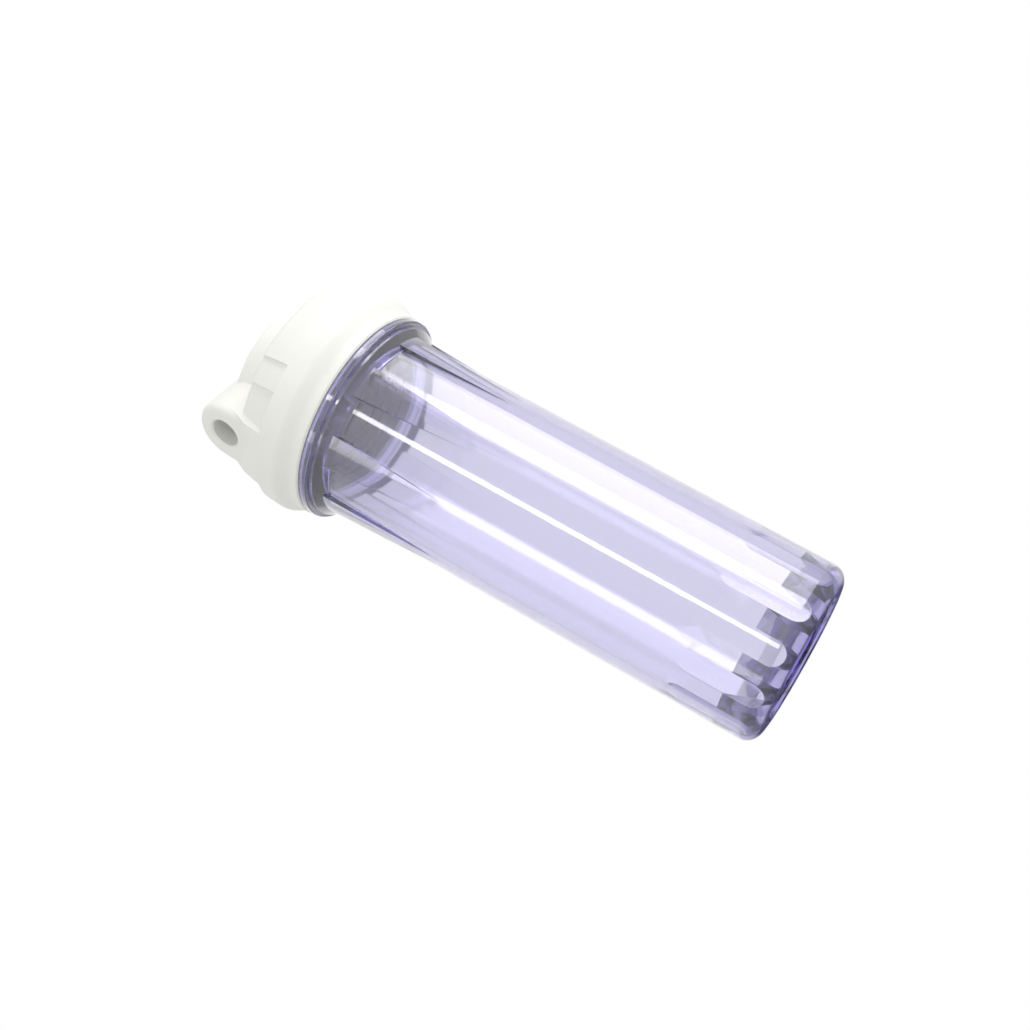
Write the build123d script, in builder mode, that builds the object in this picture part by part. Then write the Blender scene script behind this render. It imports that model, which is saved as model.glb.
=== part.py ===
from build123d import *
import os
from math import cos, pi, radians, sin

os.makedirs("parts", exist_ok=True)

# A slim ten inch water filter housing, in millimetres. A clear bowl stands on its flat base
# and screws up into a white head. The ports of the head point along X, and Z runs up the axis.

# Clear bowl: body
body_radius_high = 46.0        # outside, below the flange
body_draft = 0.8               # narrower by this above the base, for the mould
bowl_wall = 4.2
base_corner_radius = 8.0
foot_ring_width = 13.2         # from the body in to the inner edge of the flat foot
underside_lift = 1.2           # the underside is raised this much inside the foot ring
floor_thickness = 4.2          # above the foot ring
dimple_radius = 15.6           # round recess in the middle of the underside
dimple_depth = 3.4

# Clear bowl: thick ring at the bottom, cut into fins that centre the cartridge
fin_ring_top = 20.8
fin_ring_depth = 9.5           # from the bore in to where the fins meet the floor
flute_count = 12
flute_width = 11.6
flute_turn = 15.0              # degrees from X to the first flute
flute_clearance = 1.0          # from the raised middle of the floor

# Clear bowl: flange and wrench ribs
flange_top = 242.6
flange_rim_width = 2.6         # from the step below it
flange_rim_height = 4.0
flange_step_width = 5.4        # from the body
flange_step_height = 2.2
flange_cone_height = 6.2
flange_foot_round = 2.0        # hollow round where the cone leaves the body
rim_edge = 0.8
rib_count = 8
rib_turn = 22.5                # degrees from X to the first rib
rib_length = 60.0
rib_height = 2.5               # proud of the body at the flange
rib_width_top = 17.6
rib_width_tip = 8.6

# Neck and screw thread that join the bowl to the head
neck_height = 23.6             # above the flange
neck_step = 1.0                # from the body out to the neck, at the foot of the thread
neck_edge = 1.0                # chamfer that leads the neck into the head
thread_height = 2.2
thread_pitch = 5.0
thread_turns = 3.1
thread_root_width = 3.0
thread_crest_width = 1.5
thread_clearance = 0.4         # from crest to root, all round
thread_start = 4.2             # above the flange
thread_bite = 0.4              # how deep a thread ridge is set into its wall

# Seal ring between the neck and the head
seal_cord = 4.2                # diameter of the rubber cord before it is squeezed
seal_squeeze = 0.5
seal_gap = 0.1                 # clearance above and below the squeezed ring
seal_ledge_gap = 1.0           # from the neck's top to the head's ledge
seal_groove_side_gap = 0.4

# Head: outside
skirt_gap = 0.4                # from the flange to the skirt's lower edge
skirt_overhang = 0.5           # beyond the flange, at the skirt's edge
skirt_rim_height = 4.0
skirt_flare_width = 4.2        # from the skirt's edge out to the widest place
skirt_flare_height = 8.0
skirt_flare_round = 8.0
skirt_draft = 0.8              # narrower by this at the foot of the shoulder
shoulder_low_height = 25.0     # above the skirt's edge, where the shoulder turns in
shoulder_low_round = 20.0
shoulder_setback = 4.0         # from the foot of the shoulder in to its top
shoulder_top_height = 38.0
shoulder_top_round = 5.0
tower_radius = 33.4
tower_height = 55.0            # above the skirt's edge
tower_foot_height = 40.6
tower_foot_round = 3.0
tower_top_round = 1.6
bracket_pad_radius = 20.5
edge_round = 0.8

# Head: stepped recesses in the shoulder, counted from each port's axis
recess_foot_height = 21.6      # above the skirt's edge
recess_step = 1.6              # depth of each of the two steps
recess_blend = 0.2             # how far a recess runs out above the shoulder's top
wide_recess_half_angle = 52.5
deep_recess_half_angle = 37.5
recess_side_flare = 7.0        # degrees that a recess widens to its mouth

# Head: ports
port_height = 45.5             # axis above the skirt's edge
port_face_setback = 6.7        # from the skirt's widest place in to the face round the port
port_flat_radius = 10.0        # flat face round the port, below which the boss leans out
port_boss_radius = 15.8
port_boss_foot_width = 35.6
port_boss_foot_ledge = 0.3     # from the skirt's surface in to the foot of the boss's face
port_boss_round = 3.4
port_bore_radius = 7.5         # tapping size of a three eighths inch pipe thread
port_bore_depth = 14.0
port_chamfer = 0.9
passage_radius = 6.0

# Head: inside
skirt_lead_in = 1.0
ceiling_depth = 9.8            # of the annular hollow above the seal's ledge
hollow_setback = 0.8           # from the bowl's bore in to the hollow's outer wall
spigot_root_radius = 13.4
spigot_tip_radius = 12.2
spigot_bore_radius = 6.5
spigot_drop = 15.0             # below the hollow's ceiling
inlet_radius = 26.0            # from the axis to the inlet hole in the ceiling
web_count = 8
web_thickness = 2.6
web_setback = 1.4              # webs end this far above the seal's ledge

# Head: holes for the bracket's screws
bracket_hole_count = 4
bracket_hole_circle = 31.0
bracket_hole_radius = 1.9
bracket_hole_depth = 11.0

# Levels and radii that follow from the sizes above
body_radius_low = body_radius_high - body_draft
foot_inner_radius = body_radius_low - foot_ring_width
flange_step_radius = body_radius_high + flange_step_width
flange_radius = flange_step_radius + flange_rim_width
flange_rim_foot = flange_top - flange_rim_height
flange_cone_top = flange_rim_foot - flange_step_height
flange_foot = flange_cone_top - flange_cone_height
neck_top = flange_top + neck_height
neck_radius = body_radius_high + neck_step
bore_radius_low = body_radius_low - bowl_wall
bore_radius_high = body_radius_high - bowl_wall
fin_ring_low_radius = bore_radius_low - fin_ring_depth
flute_start = dimple_radius + floor_thickness + flute_clearance
ledge_level = neck_top + seal_ledge_gap
seal_height = seal_cord - seal_squeeze
seal_foot = neck_top + seal_gap
groove_level = seal_foot + seal_height + seal_gap
seal_radius = (bore_radius_high + neck_radius) / 2
groove_half_width = seal_cord / 2 + seal_groove_side_gap
skirt_foot = flange_top + skirt_gap
skirt_bore_radius = neck_radius + thread_height + thread_clearance
skirt_rim_radius = flange_radius + skirt_overhang
skirt_radius = skirt_rim_radius + skirt_flare_width
shoulder_low_radius = skirt_radius - skirt_draft
shoulder_top_radius = shoulder_low_radius - shoulder_setback
shoulder_top = skirt_foot + shoulder_top_height
tower_foot = skirt_foot + tower_foot_height
tower_top = skirt_foot + tower_height
port_face_radius = skirt_radius - port_face_setback
port_level = skirt_foot + port_height
head_top = port_level + port_boss_radius
recess_foot = skirt_foot + recess_foot_height
skirt_widest_height = skirt_rim_height + skirt_flare_height
recess_foot_share = (recess_foot_height - skirt_widest_height) / (shoulder_low_height - skirt_widest_height)
port_boss_foot_radius = skirt_radius - skirt_draft * recess_foot_share - port_boss_foot_ledge
ceiling_level = ledge_level + ceiling_depth
hollow_outer_radius = bore_radius_high - hollow_setback


def ring_at(radius, degrees_round):
    """Point on a circle about the axis."""
    angle = radians(degrees_round)
    return (radius * cos(angle), radius * sin(angle))


def shoulder_radius(level):
    """Radius of the shoulder's straight flank at a level, read past its ends too."""
    low = skirt_foot + shoulder_low_height
    rise = shoulder_top_height - shoulder_low_height
    return shoulder_low_radius - (level - low) * (shoulder_low_radius - shoulder_top_radius) / rise


def thread_ridge(wall_radius, outward, foot):
    """Helical ridge with a trapezoid section, set a little way into its wall."""
    base_radius = wall_radius - outward * thread_bite
    crest_radius = wall_radius + outward * thread_height
    flank_spread = (thread_root_width - thread_crest_width) / thread_height * thread_bite
    half_base = (thread_root_width + flank_spread) / 2
    half_crest = thread_crest_width / 2
    with BuildPart() as ridge:
        with BuildLine() as path:
            Helix(thread_pitch, thread_pitch * thread_turns, wall_radius, center=(0, 0, foot))
        with BuildSketch(Plane.XZ):
            Polygon(
                (base_radius, foot - half_base),
                (crest_radius, foot - half_crest),
                (crest_radius, foot + half_crest),
                (base_radius, foot + half_base),
                align=None,
            )
        sweep(path=path.line, is_frenet=True)
    return ridge.part


# One wrench rib: a thin wedge that runs out at its lower tip and narrows towards it
rib_top = flange_cone_top
rib_foot = flange_foot - rib_length
rib_foot_radius = body_radius_high - (body_radius_high - body_radius_low) * rib_length / flange_foot
with BuildPart() as wrench_rib:
    with BuildSketch(Plane.XZ):
        Polygon(
            (bore_radius_high + bowl_wall / 2, rib_foot),
            (rib_foot_radius, rib_foot),
            (body_radius_high + rib_height, rib_top),
            (bore_radius_high + bowl_wall / 2, rib_top),
            align=None,
        )
    revolve(axis=Axis.Z)
    with BuildSketch(Plane.YZ):
        Polygon(
            (-rib_width_tip / 2, rib_foot),
            (rib_width_tip / 2, rib_foot),
            (rib_width_top / 2, rib_top),
            (-rib_width_top / 2, rib_top),
            align=None,
        )
    extrude(amount=flange_radius, mode=Mode.INTERSECT)

# One flute between two fins: a slot with a round lower end, open at the top
with BuildPart() as flute:
    with BuildSketch(Plane.YZ.offset(flute_start)):
        with Locations((0, fin_ring_top + floor_thickness)):
            SlotCenterToCenter(2 * fin_ring_top - flute_width, flute_width, rotation=90)
    extrude(amount=bore_radius_low - flute_start)

# Clear bowl: floor, body, flange and neck in one moulding
with BuildPart() as clear_bowl:
    with BuildSketch(Plane.XZ):
        with BuildLine():
            FilletPolyline(
                (foot_inner_radius, 0),
                (body_radius_low, 0),
                (body_radius_high, flange_foot),
                (flange_step_radius, flange_cone_top),
                (flange_step_radius, flange_rim_foot),
                radius=[base_corner_radius, flange_foot_round, rim_edge],
            )
            FilletPolyline(
                (flange_step_radius, flange_rim_foot),
                (flange_radius, flange_rim_foot),
                (flange_radius, flange_top - rim_edge),
                radius=rim_edge,
            )
            Polyline(
                (flange_radius, flange_top - rim_edge),
                (flange_radius - rim_edge, flange_top),
                (neck_radius, flange_top),
                (neck_radius, neck_top - neck_edge),
                (neck_radius - neck_edge, neck_top),
                (bore_radius_high, neck_top),
                (bore_radius_low, fin_ring_top),
                (fin_ring_low_radius, floor_thickness),
                (dimple_radius + floor_thickness, floor_thickness),
                (dimple_radius, underside_lift + dimple_depth + floor_thickness),
                (0, underside_lift + dimple_depth + floor_thickness),
                (0, underside_lift + dimple_depth),
                (dimple_radius, underside_lift + dimple_depth),
                (dimple_radius, underside_lift),
                (foot_inner_radius - underside_lift, underside_lift),
                (foot_inner_radius, 0),
            )
        make_face()
    revolve(axis=Axis.Z)
    with PolarLocations(0, flute_count, start_angle=flute_turn):
        add(flute.part, mode=Mode.SUBTRACT)
    with PolarLocations(0, rib_count, start_angle=rib_turn):
        add(wrench_rib.part)
    add(thread_ridge(neck_radius, 1, flange_top + thread_start))
clear_bowl.part.label = "clear_bowl"
export_step(clear_bowl.part, "parts/clear_bowl.step")

# Seal ring: a round rubber cord, flattened where it is squeezed
with BuildPart() as seal_ring:
    with BuildSketch(Plane.XZ):
        with Locations((seal_radius, seal_foot + seal_height / 2)):
            Circle(seal_cord / 2)
            Rectangle(2 * seal_cord, seal_height, mode=Mode.INTERSECT)
    revolve(axis=Axis.Z)
seal_ring.part.label = "seal_ring"
export_step(seal_ring.part, "parts/seal_ring.step")


def shoulder_recess(half_angle, depth):
    """Cutter that takes one level off the shoulder beside a port and keeps its round top."""
    reach = skirt_radius / cos(radians(half_angle + recess_side_flare))
    with BuildPart() as cutter:
        with BuildSketch(Plane.XY.offset(recess_foot)):
            Polygon(
                (0, 0),
                ring_at(shoulder_top_radius - depth, -half_angle),
                ring_at(reach, -half_angle - recess_side_flare),
                ring_at(reach, half_angle + recess_side_flare),
                ring_at(shoulder_top_radius - depth, half_angle),
                align=None,
            )
        extrude(amount=tower_foot - recess_foot)
        with BuildSketch(Plane.XZ):
            with BuildLine():
                FilletPolyline(
                    (0, recess_foot),
                    (shoulder_radius(recess_foot) - depth, recess_foot),
                    (shoulder_top_radius - depth, shoulder_top + recess_blend),
                    (tower_radius, tower_foot + recess_blend),
                    (0, tower_foot + recess_blend),
                    radius=[0, shoulder_top_round, 0],
                )
                Line((0, tower_foot + recess_blend), (0, recess_foot))
            make_face()
        revolve(axis=Axis.Z, mode=Mode.SUBTRACT)
    return cutter.part


# Port boss: an arch round the port, with a face that leans out to the skirt
with BuildPart() as port_boss:
    with BuildSketch(Plane.YZ):
        with Locations((0, port_level)):
            Circle(port_boss_radius)
        Polygon(
            (-port_boss_foot_width / 2, recess_foot),
            (port_boss_foot_width / 2, recess_foot),
            (port_boss_radius, port_level),
            (-port_boss_radius, port_level),
            align=None,
        )
    extrude(amount=skirt_radius)
    with BuildSketch(Plane.XZ):
        Polygon(
            (0, recess_foot),
            (port_boss_foot_radius, recess_foot),
            (port_face_radius, port_level - port_flat_radius),
            (port_face_radius, head_top),
            (0, head_top),
            align=None,
        )
    extrude(amount=skirt_radius, both=True, mode=Mode.INTERSECT)
    face_rim = port_boss.edges().filter_by(GeomType.CIRCLE).sort_by(Axis.X)[-1]
    fillet(face_rim, port_boss_round)
    with BuildSketch(Plane.XZ):
        Polygon(
            (0, recess_foot),
            (port_boss_foot_radius, recess_foot),
            (port_face_radius + port_boss_round, port_level - port_flat_radius),
            (port_face_radius + port_boss_round, head_top),
            (0, head_top),
            align=None,
        )
    revolve(axis=Axis.Z, mode=Mode.INTERSECT)

# Head: skirt, shoulder, tower, ports and passages in one moulding
with BuildPart() as head:
    with BuildSketch(Plane.XZ):
        with BuildLine():
            FilletPolyline(
                (skirt_rim_radius, skirt_foot + edge_round),
                (skirt_rim_radius, skirt_foot + skirt_rim_height),
                (skirt_radius, skirt_foot + skirt_widest_height),
                (shoulder_low_radius, skirt_foot + shoulder_low_height),
                (shoulder_top_radius, shoulder_top),
                (tower_radius + edge_round, tower_foot),
                (tower_radius, tower_top),
                (bracket_pad_radius, tower_top),
                radius=[
                    skirt_flare_round,
                    skirt_flare_round,
                    shoulder_low_round,
                    shoulder_top_round,
                    tower_foot_round,
                    tower_top_round,
                ],
            )
            Polyline(
                (bracket_pad_radius, tower_top),
                (bracket_pad_radius, head_top),
                (0, head_top),
                (0, skirt_foot),
                (skirt_rim_radius - edge_round, skirt_foot),
                (skirt_rim_radius, skirt_foot + edge_round),
            )
        make_face()
    revolve(axis=Axis.Z)
    for half_angle, depth in (
        (wide_recess_half_angle, recess_step),
        (deep_recess_half_angle, 2 * recess_step),
    ):
        with PolarLocations(0, 2):
            add(shoulder_recess(half_angle, depth), mode=Mode.SUBTRACT)
    with PolarLocations(0, 2):
        add(port_boss.part)
    # Inside: bore for the thread, seal's ledge and groove, hollow round the spigot
    with BuildSketch(Plane.XZ):
        Polygon(
            (0, skirt_foot),
            (skirt_bore_radius + skirt_lead_in, skirt_foot),
            (skirt_bore_radius, skirt_foot + skirt_lead_in),
            (skirt_bore_radius, ledge_level),
            (seal_radius + groove_half_width, ledge_level),
            (seal_radius + groove_half_width, groove_level),
            (seal_radius - groove_half_width, groove_level),
            (seal_radius - groove_half_width, ledge_level),
            (hollow_outer_radius, ledge_level),
            (hollow_outer_radius, ceiling_level),
            (spigot_root_radius, ceiling_level),
            (spigot_tip_radius, ceiling_level - spigot_drop),
            (0, ceiling_level - spigot_drop),
            align=None,
        )
    revolve(axis=Axis.Z, mode=Mode.SUBTRACT)
    add(thread_ridge(skirt_bore_radius, -1, flange_top + thread_start + thread_pitch / 2))
    # Webs that stiffen the ceiling between the spigot and the seal's ledge
    with BuildSketch(Plane.XY.offset(ledge_level + web_setback)) as webs:
        with PolarLocations(0, web_count, start_angle=180 / web_count):
            with Locations((hollow_outer_radius / 2 + spigot_tip_radius / 2, 0)):
                Rectangle(hollow_outer_radius - spigot_tip_radius, web_thickness)
    extrude(amount=ceiling_depth - web_setback)
    # Ports and the passages behind them
    with Locations(
        Location((port_face_radius, 0, port_level), (0, 90, 0)),
        Location((-port_face_radius, 0, port_level), (0, -90, 0)),
    ):
        CounterSinkHole(
            port_bore_radius, port_bore_radius + port_chamfer, port_bore_depth, counter_sink_angle=90
        )
    with BuildSketch(Plane.YZ.offset(-port_face_radius)):
        with Locations((0, port_level)):
            Circle(passage_radius)
    extrude(amount=port_face_radius - inlet_radius + passage_radius, mode=Mode.SUBTRACT)
    with BuildSketch(Plane.YZ):
        with Locations((0, port_level)):
            Circle(passage_radius)
    extrude(amount=port_face_radius, mode=Mode.SUBTRACT)
    with BuildSketch(Plane.XY.offset(ceiling_level)):
        with Locations((-inlet_radius, 0)):
            Circle(passage_radius)
    extrude(amount=port_level - ceiling_level, mode=Mode.SUBTRACT)
    with BuildSketch(Plane.XY.offset(ceiling_level - spigot_drop)):
        Circle(spigot_bore_radius)
    extrude(amount=port_level - ceiling_level + spigot_drop, mode=Mode.SUBTRACT)
    # Blind holes for the screws of a wall bracket
    with Locations(Location((0, 0, head_top))):
        with PolarLocations(bracket_hole_circle / 2, bracket_hole_count, start_angle=45):
            Hole(bracket_hole_radius, bracket_hole_depth)
head.part.label = "head"
export_step(head.part, "parts/head.step")
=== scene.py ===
from math import atan, cos, pi, radians, sin

import bpy
from bpy.props import FloatProperty, FloatVectorProperty, IntProperty, PointerProperty
from bpy.types import Operator, Panel, PropertyGroup
from mathutils import Matrix, Vector


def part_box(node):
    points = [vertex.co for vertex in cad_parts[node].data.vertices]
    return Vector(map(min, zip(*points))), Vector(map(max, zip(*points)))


bl_info = {
    "name": "Water Filter Housing",
    "version": (1, 0, 0),
    "blender": (4, 5, 0),
    "location": "3D View > Sidebar > Filter Housing",
    "description": "Dresses a clear water filter housing and sets its studio stage",
    "category": "Object",
}

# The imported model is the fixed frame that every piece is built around
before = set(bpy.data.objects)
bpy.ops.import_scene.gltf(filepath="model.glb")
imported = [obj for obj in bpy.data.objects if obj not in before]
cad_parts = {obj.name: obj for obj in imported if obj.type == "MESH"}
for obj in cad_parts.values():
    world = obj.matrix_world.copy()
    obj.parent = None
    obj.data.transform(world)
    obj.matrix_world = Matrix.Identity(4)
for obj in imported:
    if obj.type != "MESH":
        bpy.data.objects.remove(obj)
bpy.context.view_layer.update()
BOWL_LOW, BOWL_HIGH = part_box("clear_bowl")
HEAD_LOW, HEAD_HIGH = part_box("head")


class StageSettings(PropertyGroup):
    """Where the camera stands and how the studio is lit."""

    camera_distance: FloatProperty(
        name="Camera Distance", description="From the housing's axis to the camera",
        default=0.6857, unit="LENGTH")
    camera_height: FloatProperty(
        name="Camera Height", description="Height of the camera above the housing's foot",
        default=-0.0433, unit="LENGTH")
    camera_turn: FloatProperty(
        name="Camera Turn", description="Azimuth of the camera round the axis",
        default=radians(230), subtype="ANGLE")
    camera_tilt: FloatProperty(
        name="Camera Tilt", description="How far the view climbs towards the head",
        default=radians(15.80), subtype="ANGLE")
    camera_roll: FloatProperty(
        name="Camera Roll", description="Slope of the housing's axis across the picture",
        default=radians(29.0), subtype="ANGLE")
    axis_offset: FloatProperty(
        name="Axis Offset", description="Angle by which the view passes beside the axis",
        default=radians(0.485), subtype="ANGLE")
    lens: FloatProperty(
        name="Lens", description="Focal length on a 36 mm sensor, in millimetres", default=52.02)
    backdrop_color: FloatVectorProperty(
        name="Backdrop", description="Colour of the paper behind the housing",
        default=(1.0, 1.0, 1.0), subtype="COLOR")


def deselect_all():
    """Clears the selection, which an operator would otherwise act on."""
    bpy.ops.object.select_all(action="DESELECT")


def new_material(name):
    """A material with an empty node tree, ready for its own nodes."""
    material = bpy.data.materials.new(name)
    material.use_nodes = True
    material.node_tree.nodes.clear()
    return material, material.node_tree.nodes, material.node_tree.links


def dress(obj, material):
    """Gives a piece one material in place of any it has."""
    obj.data.materials.clear()
    obj.data.materials.append(material)


def clear_plastic_material():
    """Polished clear plastic whose violet tint deepens with its thickness."""
    material, nodes, links = new_material("clear_violet_plastic")
    output = nodes.new("ShaderNodeOutputMaterial")
    shader = nodes.new("ShaderNodeBsdfPrincipled")
    shader.inputs["Base Color"].default_value = (1.0, 1.0, 1.0, 1.0)
    shader.inputs["Roughness"].default_value = 0.07
    shader.inputs["IOR"].default_value = 1.57
    shader.inputs["Transmission Weight"].default_value = 0.94
    shader.inputs["Coat Weight"].default_value = 1.0
    shader.inputs["Coat Roughness"].default_value = 0.04
    tint = nodes.new("ShaderNodeVolumeAbsorption")
    tint.inputs["Color"].default_value = (0.30, 0.22, 0.80, 1.0)
    tint.inputs["Density"].default_value = 62.0
    links.new(shader.outputs["BSDF"], output.inputs["Surface"])
    links.new(tint.outputs["Volume"], output.inputs["Volume"])
    return material


def white_plastic_material():
    """Satin off-white moulding."""
    material, nodes, links = new_material("white_satin_plastic")
    output = nodes.new("ShaderNodeOutputMaterial")
    shader = nodes.new("ShaderNodeBsdfPrincipled")
    shader.inputs["Base Color"].default_value = (0.78, 0.78, 0.74, 1.0)
    shader.inputs["Roughness"].default_value = 0.42
    links.new(shader.outputs["BSDF"], output.inputs["Surface"])
    return material


class HOUSING_OT_stage(Operator):
    """Set the floor, the lights, the backdrop and the camera"""

    bl_idname = "housing.stage"
    bl_label = "Set Stage"

    def execute(self, context):
        settings = context.scene.housing_stage
        outward = Vector((cos(settings.camera_turn), sin(settings.camera_turn), 0))
        up = Vector((0, 0, 1))
        tilt = settings.camera_tilt
        along = -cos(tilt) * up - sin(tilt) * outward
        across = outward.cross(up)
        view = sin(tilt) * up - cos(tilt) * outward
        across, view = (
            cos(settings.axis_offset) * across - sin(settings.axis_offset) * view,
            cos(settings.axis_offset) * view + sin(settings.axis_offset) * across,
        )
        roll = settings.camera_roll
        right = cos(roll) * along - sin(roll) * across
        down = sin(roll) * along + cos(roll) * across
        camera_data = bpy.data.cameras.new("camera")
        camera_data.lens = settings.lens
        camera_data.sensor_width = 36
        camera = bpy.data.objects.new("camera", camera_data)
        context.scene.collection.objects.link(camera)
        place = settings.camera_distance * outward + settings.camera_height * up
        camera.matrix_world = Matrix((
            (right.x, -down.x, -view.x, place.x),
            (right.y, -down.y, -view.y, place.y),
            (right.z, -down.z, -view.z, place.z),
            (0, 0, 0, 1),
        ))
        context.scene.camera = camera
        self.set_world(context)
        self.add_floor(settings)
        self.add_lights(context, settings)
        context.scene.view_settings.view_transform = "Standard"
        return {"FINISHED"}

    def set_world(self, context):
        """White to the camera and in reflections, and softer as a source of light."""
        world = bpy.data.worlds.new("studio")
        context.scene.world = world
        world.use_nodes = True
        nodes, links = world.node_tree.nodes, world.node_tree.links
        nodes.clear()
        output = nodes.new("ShaderNodeOutputWorld")
        seen = nodes.new("ShaderNodeBackground")
        seen.inputs["Color"].default_value = (1, 1, 1, 1)
        seen.inputs["Strength"].default_value = 1.0
        shed = nodes.new("ShaderNodeBackground")
        shed.inputs["Color"].default_value = (1, 1, 1, 1)
        shed.inputs["Strength"].default_value = 0.70
        path = nodes.new("ShaderNodeLightPath")
        camera_or_glossy = nodes.new("ShaderNodeMath")
        camera_or_glossy.operation = "MAXIMUM"
        any_of_three = nodes.new("ShaderNodeMath")
        any_of_three.operation = "MAXIMUM"
        mix = nodes.new("ShaderNodeMixShader")
        links.new(path.outputs["Is Camera Ray"], camera_or_glossy.inputs[0])
        links.new(path.outputs["Is Glossy Ray"], camera_or_glossy.inputs[1])
        links.new(camera_or_glossy.outputs[0], any_of_three.inputs[0])
        links.new(path.outputs["Is Transmission Ray"], any_of_three.inputs[1])
        links.new(any_of_three.outputs[0], mix.inputs[0])
        links.new(shed.outputs[0], mix.inputs[1])
        links.new(seen.outputs[0], mix.inputs[2])
        links.new(mix.outputs[0], output.inputs["Surface"])

    def add_floor(self, settings):
        """Pale paper under the foot, clear from below, where the photograph looks from."""
        deselect_all()
        bpy.ops.mesh.primitive_plane_add(size=4.0, location=(0, 0, 0))
        floor = bpy.context.active_object
        floor.name = "floor"
        material, nodes, links = new_material("studio_paper")
        output = nodes.new("ShaderNodeOutputMaterial")
        paper = nodes.new("ShaderNodeBsdfDiffuse")
        paper.inputs["Color"].default_value = (0.86, 0.86, 0.86, 1)
        clear = nodes.new("ShaderNodeBsdfTransparent")
        geometry = nodes.new("ShaderNodeNewGeometry")
        mix = nodes.new("ShaderNodeMixShader")
        links.new(geometry.outputs["Backfacing"], mix.inputs[0])
        links.new(paper.outputs[0], mix.inputs[1])
        links.new(clear.outputs[0], mix.inputs[2])
        links.new(mix.outputs[0], output.inputs["Surface"])
        dress(floor, material)

    def add_lights(self, context, settings):
        """One broad soft box, and strips whose reflections run down the bowl."""
        middle = Vector((0, 0, 0.15))
        for name, turn, distance, height, width, length, radiance in (
            ("broad_box", -75, 1.0, 0.25, 0.8, 1.0, 2.2),
            ("front_strip", 0, 1.0, 0.42, 0.09, 0.75, 6.0),
            ("left_strip", -56, 1.1, 0.35, 0.30, 0.9, 2.5),
            ("right_strip", 44, 1.1, 0.35, 0.22, 0.9, 2.0),
        ):
            lamp_data = bpy.data.lights.new(name, "AREA")
            lamp_data.shape = "RECTANGLE"
            lamp_data.size = width
            lamp_data.size_y = length
            lamp_data.energy = radiance * pi * width * length
            lamp = bpy.data.objects.new(name, lamp_data)
            context.scene.collection.objects.link(lamp)
            around = settings.camera_turn - radians(turn)
            place = Vector((distance * cos(around), distance * sin(around), height))
            back = (place - middle).normalized()
            side = Vector((0, 0, 1)).cross(back).normalized()
            long_axis = back.cross(side)
            lamp.matrix_world = Matrix((
                (side.x, long_axis.x, back.x, place.x),
                (side.y, long_axis.y, back.y, place.y),
                (side.z, long_axis.z, back.z, place.z),
                (0, 0, 0, 1),
            ))


class HOUSING_OT_clear_bowl(Operator):
    """Dress the clear bowl"""

    bl_idname = "housing.clear_bowl"
    bl_label = "Clear Bowl"

    def execute(self, context):
        dress(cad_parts["clear_bowl"], clear_plastic_material())
        return {"FINISHED"}


class HOUSING_OT_head(Operator):
    """Dress the white head"""

    bl_idname = "housing.head"
    bl_label = "Head"

    def execute(self, context):
        dress(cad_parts["head"], white_plastic_material())
        return {"FINISHED"}


CLASSES = (StageSettings, HOUSING_OT_stage, HOUSING_OT_clear_bowl, HOUSING_OT_head)


def register():
    for cls in CLASSES:
        bpy.utils.register_class(cls)
    bpy.types.Scene.housing_stage = PointerProperty(type=StageSettings)


def unregister():
    del bpy.types.Scene.housing_stage
    for cls in reversed(CLASSES):
        bpy.utils.unregister_class(cls)


def main():
    register()
    bpy.ops.housing.stage()
    bpy.ops.housing.clear_bowl()
    bpy.ops.housing.head()


if __name__ == "__main__":
    main()
